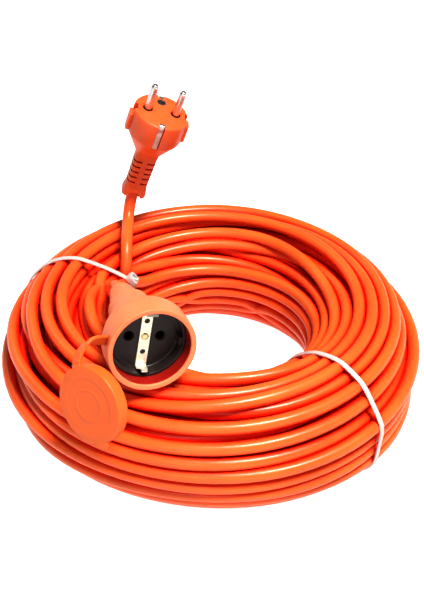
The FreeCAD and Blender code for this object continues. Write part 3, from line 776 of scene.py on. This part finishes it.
def tie_head():
    """Locking head with its slot, and the cut tail that stands out of it."""
    length, width, depth = TIE_HEAD
    soft = 0.0026
    tall = [0.55, 0.94, 1.0, 0.94, 0.70]
    levels = [-0.0004, 0.0006, depth * 0.45, depth * 0.82, depth - 0.0006]
    sides = []
    for grow, level in zip(tall, levels):
        half_length, half_width = length / 2 * grow, width / 2 * grow
        sides.append([(x, y, level) for x, y in block((-half_length, half_length),
                                                      (-half_width, half_width), soft)])
    slot = prism(block((-length * 0.30, length * 0.30), (-width * 0.26, width * 0.26), 0.0004),
                 depth * 0.55, depth * 1.5)
    shell = carve(loft(sides), [slot])
    tail_path = [Vector((0, 0, depth * 0.30)), Vector((length * 0.10, 0, depth * 0.72)),
                 Vector((length * 0.32, 0, depth * 1.08))]
    tail = band(tail_path, [SIDEWAYS] * 3, TIE_WIDTH * 0.8, TIE_THICKNESS * 0.8)
    return join(shell, tail)


def build_tie(name, centres, material):
    """Band drawn tight round the turns, with its locking head and cut tail."""
    heading, skew, _, head_angle = TIES[name]
    plane = Matrix.Rotation(math.radians(heading), 4, "Z") @ Matrix.Translation((COIL_RADIUS, 0, 0))
    plane = plane @ Matrix.Rotation(math.radians(skew), 4, "Z")
    path = tie_loop(centres, plane)
    strap = band(path, [SIDEWAYS] * len(path), TIE_WIDTH, TIE_THICKNESS, loop=True)
    head = tie_head()
    bmesh.ops.transform(head, matrix=head_seat(path, head_angle), verts=head.verts)
    piece("cable_tie_" + name, join(strap, head), plane, material,
          replaces=["cable_tie_" + name])


# ------------------------------------------------------------------ socket
def build_socket(materials):
    build_collar(materials)
    build_cover(materials["housing"])
    build_relief(materials["housing"])
    build_insert(materials)


def build_collar(materials):
    """Collar round the mouth with a groove near its rear edge, and a thin dark red sheet lining its mouth:
    painted shade on the collar's inner wall.
    """
    rear = -COLLAR_LENGTH
    collar = rounded([
        (MOUTH_RADIUS, -0.4, 0.8), (COLLAR_RADIUS - 0.2, 0, 1.2), (COLLAR_RADIUS, -1.0, 1.0),
        (COLLAR_RADIUS, rear + 5.2, 0.5), (COLLAR_RADIUS - GROOVE_DEPTH, rear + 4.7, 0.2),
        (COLLAR_RADIUS - GROOVE_DEPTH, rear + 3.0, 0.2), (COLLAR_RADIUS - 1.4, rear + 2.6, 0.3),
        (COLLAR_RADIUS - 2.1, rear + 0.1, 0.5), (MOUTH_RADIUS, rear + 0.1, 0.2),
    ])
    piece("socket_collar", lathe(collar, 144), SOCKET, materials["housing"],
          replaces=["socket_body"])
    # Painted shade: a thin dark red sheet inside the mouth stands in for the housing's own plastic in shadow.
    shade_sheet = rounded([
        (MOUTH_RADIUS - 0.02, -1.4, 0.1), (MOUTH_RADIUS - 0.02, -INSERT_EDGE + 0.2, 0.1),
        (MOUTH_RADIUS - 0.22, -INSERT_EDGE + 0.2, 0.1), (MOUTH_RADIUS - 0.22, -1.5, 0.1),
    ])
    piece("socket_mouth_painted_shade", lathe(shade_sheet, 144), SOCKET, materials["inner"])


def build_cover(material):
    """Hollow rear cover, from a shoulder behind the collar to a blunt end."""
    soft = 0.5
    front = -COLLAR_LENGTH - 0.15
    cover = rounded([
        (INSERT_RADIUS + 0.2, front, 0.2), (COLLAR_RADIUS - 2.4, front, 0.2),
        (COLLAR_RADIUS - 2.4, front - 1.0, 0.4), (COLLAR_RADIUS - 4.4, front - 4.4, 3),
        (BLOCK_RADIUS + 3.2, front - 10, 4), (BLOCK_RADIUS + 1.5, front - 18, 3),
        (BLOCK_RADIUS - 0.9, front - 24, 3), (BLOCK_RADIUS - 1.4, -COVER_END + 1.8, 2.2),
        (BLOCK_RADIUS - 2.9, -COVER_END, 1.2), (4.6, -COVER_END, soft), (6.5, -COVER_END + 1.5, soft),
        (BLOCK_RADIUS - 3.5, -COVER_END + 6, 1), (BLOCK_RADIUS + 0.5, -BLOCK_END - 3, 1),
        (BLOCK_RADIUS + 0.5, front - 5, 1),
    ])
    piece("socket_rear_shell", lathe(cover, 144), SOCKET, material,
          replaces=["socket_rear_cover"])


def build_relief(material):
    """Tapered strain relief with five soft rings."""
    rings = 5
    span = (SOCKET_LENGTH - COVER_END) / rings
    outside = []
    for index in range(rings):
        radius = RELIEF_RADIUS - RELIEF_TAPER * index / rings
        top = -COVER_END - span * index
        outside += [(radius, top - 0.1, 0.6), (radius - 0.3, top - span * 0.66, 0.6),
                    (radius - 1.1, top - span * 0.70, 0.3), (radius - 1.2, top - span * 0.98, 0.3)]
    profile = [(CORD / MM / 2 + 0.12, -COVER_END, 0.1)] + outside
    profile += [(6.2, -SOCKET_LENGTH, 0.6), (CORD / MM / 2 + 0.12, -SOCKET_LENGTH, 0.3)]
    piece("strain_relief_sleeve", lathe(rounded(profile, steps=3), 96), SOCKET, material,
          replaces=["socket_strain_relief"])


def build_insert(materials):
    """Black carrier with its cup, guide ridges and pin holes."""
    profile = rounded([
        (0, -CUP_FLOOR, 0), (CUP_RADIUS, -CUP_FLOOR, 1.4), (CUP_RADIUS, -INSERT_EDGE, 0.3),
        (INSERT_RADIUS, -INSERT_EDGE, 0.3),
        (INSERT_RADIUS, -CUP_FLOOR - 2.5, 0.5), (BLOCK_RADIUS, -CUP_FLOOR - 2.5, 0.5),
        (BLOCK_RADIUS, -BLOCK_END, 0.5), (0, -BLOCK_END, 0),
    ])
    cutters = []
    for side in (-1, 1):
        x = side * PIN_SPACING / 2
        cutters.append(prism(disc(2.5, x), -CUP_FLOOR - 2.2, -CUP_FLOOR + 1))
        cutters.append(prism(disc(3.45, x), -BLOCK_END - 1, -CUP_FLOOR - 1.78))
        funnel = [[(x + u, v, z) for u, v in disc(radius)] for radius, z in
                  ((2.5, -CUP_FLOOR - 0.9), (3.3, -CUP_FLOOR + 0.1), (3.3, -CUP_FLOOR + 1))]
        cutters.append(loft(funnel))
    cutters.append(prism(disc(1.52), -BLOCK_END - 1, -CUP_FLOOR + 1))
    for y in (-CUP_RADIUS, CUP_RADIUS):
        cutters.append(prism(block((-3.4, 3.4), (y - 0.6, y + 1.0), 0.3), -CUP_FLOOR + 1.2, 0))
    carrier = carve(lathe(profile, 144), cutters)
    for side in (-1, 1):
        x = side * (CUP_RADIUS - 0.8)
        ridge = block((x - 1.3, x + 1.3), (-2.4, 2.4), 0.5)
        carrier = join(carrier, prism(ridge, -CUP_FLOOR - 0.5, -INSERT_EDGE - 1))
    piece("socket_carrier", carrier, SOCKET, materials["insulator"], replaces=["socket_insert"])
    build_earth_strip(materials)


def build_earth_strip(materials):
    """Bent strip with three holes; its two ends rise along the cup's wall."""
    floor = -CUP_FLOOR + 0.45
    wall = CUP_RADIUS - 1.5
    side_view = rounded([
        (-wall + 2.4, -9.2, 0), (-wall + 0.6, -8.0, 0.8), (-wall + 1.0, -11.0, 1.6), (-wall, -13.4, 1.2),
        (-wall, floor, 1.2), (wall, floor, 1.0), (wall, -9.4, 0.8), (wall - 2.4, -8.6, 0),
    ], closed=False, steps=4)
    path = [Vector((0, y, z)) for y, z in side_view]
    widths = []
    for y, z in side_view:
        narrow = y < 0 and z > -13.0
        widths.append(3.8 if narrow else 6.8)
    strip = band(path, [Vector((1, 0, 0))] * len(path), 6.8, 0.8, widths=widths)
    holes = [prism(disc(1.5), floor - 2, floor + 2)]
    for y in (-EARTH_HOLE, EARTH_HOLE):
        holes.append(prism(disc(1.6, y=y), floor - 2, floor + 2))
    piece("earth_spring_strip", carve(strip, holes), SOCKET, materials["strip"],
          replaces=["socket_earth_strip"])
    top = floor + 0.4
    rivet = rounded([(0, top + 0.7, 0), (1.4, top + 0.65, 0.5), (2.15, top + 0.3, 0.4), (2.15, top, 0.1),
                     (1.5, top, 0.05), (1.5, -BLOCK_END, 0.3), (0, -BLOCK_END, 0)])
    piece("earth_rivet_dome", lathe(rivet, 48), SOCKET, materials["brass"], replaces=["earth_rivet"])


# ------------------------------------------------------------------ lid and strap
def build_lid(material):
    """Hollow lid with a raised ring on its face, a finger tab and the strap's lug."""
    soft = 1.3
    inner = LID_RADIUS - 2.0
    profile = rounded([
        (0, -0.25, 0), (8.2, -0.25, 0.4), (8.6, -0.02, 0.4), (9.6, -0.02, 0.4), (10.0, -0.25, 0.4),
        (15.6, -0.25, 0.4), (16.0, 0.0, 0.4), (LID_RADIUS, 0, soft), (LID_RADIUS, -LID_THICKNESS + 0.9, 0.4),
        (LID_RADIUS - 0.4, -LID_THICKNESS, 0.4), (inner, -LID_THICKNESS, 0.4), (inner, -LID_TOP, 0.8),
        (0, -LID_TOP, 0),
    ])
    cap = lathe(profile, 144)
    tab_x = LID_RADIUS - 1.5
    levels = ((4.5, -0.05), (4.9, -0.4), (5.0, -1.2), (4.9, -LID_TOP + 0.4), (4.5, -LID_TOP))
    tab = loft([[(x, y, z) for x, y in disc(radius, tab_x)] for radius, z in levels])
    half = STRAP_WIDTH / 2
    lug = prism(block((-LID_RADIUS - 1.6, -LID_RADIUS + 1), (-half, half), 0.5), -2.2, -0.2)
    piece("stopper_lid", join(cap, tab, lug), LID, material, body="lid", replaces=["lid"])


def bezier(points, count):
    """Points on a smooth curve pulled by every control point."""
    found = []
    for step in range(count):
        share = step / (count - 1)
        layer = list(points)
        while len(layer) > 1:
            layer = [a.lerp(b, share) for a, b in zip(layer, layer[1:])]
        found.append(layer[0])
    return found


def build_strap(material):
    """Ribbon from the collar to the lid, in two pieces that meet past the fold."""
    line = swing_direction()
    fixed = SOCKET @ (SWING_POINT - line * 18)
    moving = SOCKET @ (SWING_POINT - line * 9)
    root = SOCKET @ Vector((-COLLAR_RADIUS + 1.0, 3, -8))
    lid_edge = LID @ Vector((-LID_RADIUS + 0.6, 0, -1.2))
    lid_reach = LID @ Vector((-LID_RADIUS - 8, 0, -1.2))
    corner = fixed.lerp(moving, 0.5) + (fixed - root) * 0.25
    path = bezier([root, root.lerp(fixed, 0.6), corner, corner, moving, lid_reach, lid_edge], STRAP_STEPS + 1)
    upright = (SOCKET.to_3x3() @ Vector((0, 1, 0.3))).normalized()
    sideways = (LID.to_3x3() @ Vector((0, 1, 0))).normalized()
    if upright.dot(sideways) < 0:
        sideways = -sideways
    shares = [step / STRAP_STEPS for step in range(STRAP_STEPS + 1)]
    across = [upright.lerp(sideways, share).normalized() for share in shares]
    split = STRAP_SPLIT
    width = STRAP_WIDTH * MM
    thickness = STRAP_THICKNESS * MM
    widths = [width * (1.22 - 0.22 * step / STRAP_STEPS) for step in range(STRAP_STEPS + 1)]
    root_part = band(path[:split + 1], across[:split + 1], width, thickness, widths=widths[:split + 1])
    first = piece("lid_strap_fold", root_part, Matrix.Identity(4), material, body=None,
                  replaces=["lid_strap_root"])
    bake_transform(first)
    end_part = band(path[split:], across[split:], width, thickness, widths=widths[split:])
    second = piece("lid_strap_tail", end_part, Matrix.Identity(4), material, body=None,
                   replaces=["lid_strap_end"])
    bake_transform(second)


# ------------------------------------------------------------------ plug
def super_section(half_width, half_height, power, z, count=96):
    """Rounded outline: power 2 is an ellipse, and higher powers near a rectangle."""
    points = []
    for index in range(count):
        angle = 2 * math.pi * index / count
        c, s = math.cos(angle), math.sin(angle)
        x = half_width * math.copysign(abs(c) ** (2 / power), c)
        y = half_height * math.copysign(abs(s) ** (2 / power), s)
        points.append((x, y, z))
    return points


def plug_body():
    """Round front, shoulders, flat neck and flared boot, from half width and half height."""
    sections = [
        (17.3, 17.3, 2.0, 0.0), (17.9, 17.9, 2.0, -0.25),
        (18.4, 18.4, 2.0, -0.9), (18.5, 18.5, 2.0, -1.8),
        (18.5, 18.5, 2.0, -PLUG_FRONT + 1.0), (18.1, 18.0, 2.0, -PLUG_FRONT),
        (17.2, 16.8, 2.1, -PLUG_FRONT - 1.5), (12.6, 11.0, 2.4, -PLUG_FRONT - 9.0),
        (9.4, 7.4, 3.0, -PLUG_FRONT - 14), (8.3, 6.3, 3.6, -PLUG_FRONT - 16),
        (7.8, 5.8, 4.0, -PLUG_FRONT - 20),
        (7.4, 5.5, 4.0, -PLUG_LENGTH + 12), (7.5, 5.6, 4.0, -PLUG_LENGTH + 8.5),
        (8.1, 6.4, 4.0, -PLUG_LENGTH + 5.5), (8.5, 6.8, 4.0, -PLUG_LENGTH + 2.5),
        (8.4, 6.7, 4.0, -PLUG_LENGTH + 0.5), (8.0, 6.3, 4.0, -PLUG_LENGTH),
    ]
    return loft([super_section(*section) for section in reversed(sections)])


def plug_cutters():
    """Pin seats, side channels, earth hole, cord bore and the neck's slits."""
    cutters = []
    reach = PLUG_RADIUS + 2
    for side in (-1, 1):
        cutters.append(prism(disc(3.3, side * PIN_SPACING / 2), -1.8, 1))
        low, high = sorted((side * (PLUG_RADIUS - 2.6), side * reach))
        cutters.append(prism(block((low, high), (-3, 3), 0.4), -PLUG_FRONT + 4, 1))
        cutters.append(prism(block((-2.2, 2.2), (low, high), 0.4), -PLUG_FRONT - 4, 1))
    cutters.append(prism(disc(3.25, y=EARTH_HOLE), -14.2, 1))
    cutters.append(prism(disc(CORD / MM / 2 + 0.25), -PLUG_LENGTH - 1, -PLUG_LENGTH + 14))
    arch = loft([[(x, y, z) for x, z in disc(5.2, count=40)] for y in (-12, -4.2)])
    cutters.append(shifted(arch, z=-PLUG_LENGTH - 0.6))
    for row in range(5):
        z = -PLUG_LENGTH + 12 + 4.6 * row
        for low, high in ((-9, -1.9), (1.9, 9)):
            cutters.append(prism(block((low, high), (-7, -4.4), 0.2), z, z + 1.3))
            cutters.append(prism(block((low, high), (4.4, 7), 0.2), z, z + 1.3))
        for low, high in ((-9, -6.2), (6.2, 9)):
            cutters.append(prism(block((low, high), (-4.6, 4.6), 0.2), z, z + 1.3))
    return cutters


def side_lug(side):
    """Raised lug along one side of the plug's front."""
    low, high = sorted((side * (PLUG_RADIUS - 3.0), side * (PLUG_RADIUS + LUG_HEIGHT)))
    levels = ((2.6, -PLUG_FRONT - 0.6), (4.0, -PLUG_FRONT + 1), (4.0, -5.6), (3.4, -5.0))
    return loft([[(x, y, z) for x, y in block((low, high), (-half, half), 0.8)] for half, z in levels])


def build_plug(materials):
    """Moulded plug with its side lugs, two pins and two earth clips."""
    moulding = join(carve(plug_body(), plug_cutters()), side_lug(-1), side_lug(1))
    piece("plug_moulding", moulding, PLUG, materials["plug"],
          replaces=["plug_body"], smooth=38)
    pin = rounded([
        (0, PIN_LENGTH, 0), (PIN_RADIUS - 1.0, PIN_LENGTH, 0.8), (PIN_RADIUS, PIN_LENGTH - 1.6, 1.0),
        (PIN_RADIUS, -1.6, 0.1), (1.9, -1.6, 0.1), (1.9, -14, 0.2), (0, -14, 0),
    ])
    for node, side in (("pin_line", 1), ("pin_neutral", -1)):
        bm = shifted(lathe(pin, 48), x=side * PIN_SPACING / 2)
        piece(node + "_turned", bm, PLUG, materials["nickel"], replaces=[node])
    for node, side in (("plug_earth_clip_near", -1), ("plug_earth_clip_far", 1)):
        build_clip(node, side, materials["nickel"])


def build_clip(node, side, material):
    """Spring strip in the plug's channel, its top folded over the face's edge."""
    depth = PLUG_RADIUS - 2.0
    side_view = rounded([
        (depth - 2.4, -0.3, 0), (depth - 0.2, 0.1, 1.0), (depth + 0.5, -3.5, 2.0), (depth, -9, 2),
        (depth - 0.1, -PLUG_FRONT - 0.6, 0),
    ], closed=False)
    path = [Vector((0, side * y, z)) for y, z in side_view]
    strip = band(path, [Vector((1, 0, 0))] * len(path), 3.8, 0.8)
    piece(node + "_bent", strip, PLUG, material, replaces=[node])


# ------------------------------------------------------------------ what stays from the CAD model
def paint_nodes(materials):
    """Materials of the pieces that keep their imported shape."""
    finish = {"plug_bridge": "insulator", "plug_earth_sleeve": "nickel"}
    for node in NODES:
        if node.startswith("contact_"):
            # Contacts take the near-black painted shade of the pin holes.
            finish[node] = "tarnished"
        elif "_crimp_" in node:
            finish[node] = "brass"
        elif "_core_" in node:
            finish[node] = "core_" + node.rsplit("_", 1)[1]
    for node, name in finish.items():
        slots = NODES[node].data.materials
        slots.clear()
        slots.append(materials[name])


build_camera()
build_stage()
palette = build_materials()
centre_line = build_cord(palette["sheath"])
for tie in TIES:
    build_tie(tie, centre_line, palette["nylon"])
build_socket(palette)
build_lid(palette["lid"])
build_strap(palette["lid"])
build_plug(palette)
paint_nodes(palette)
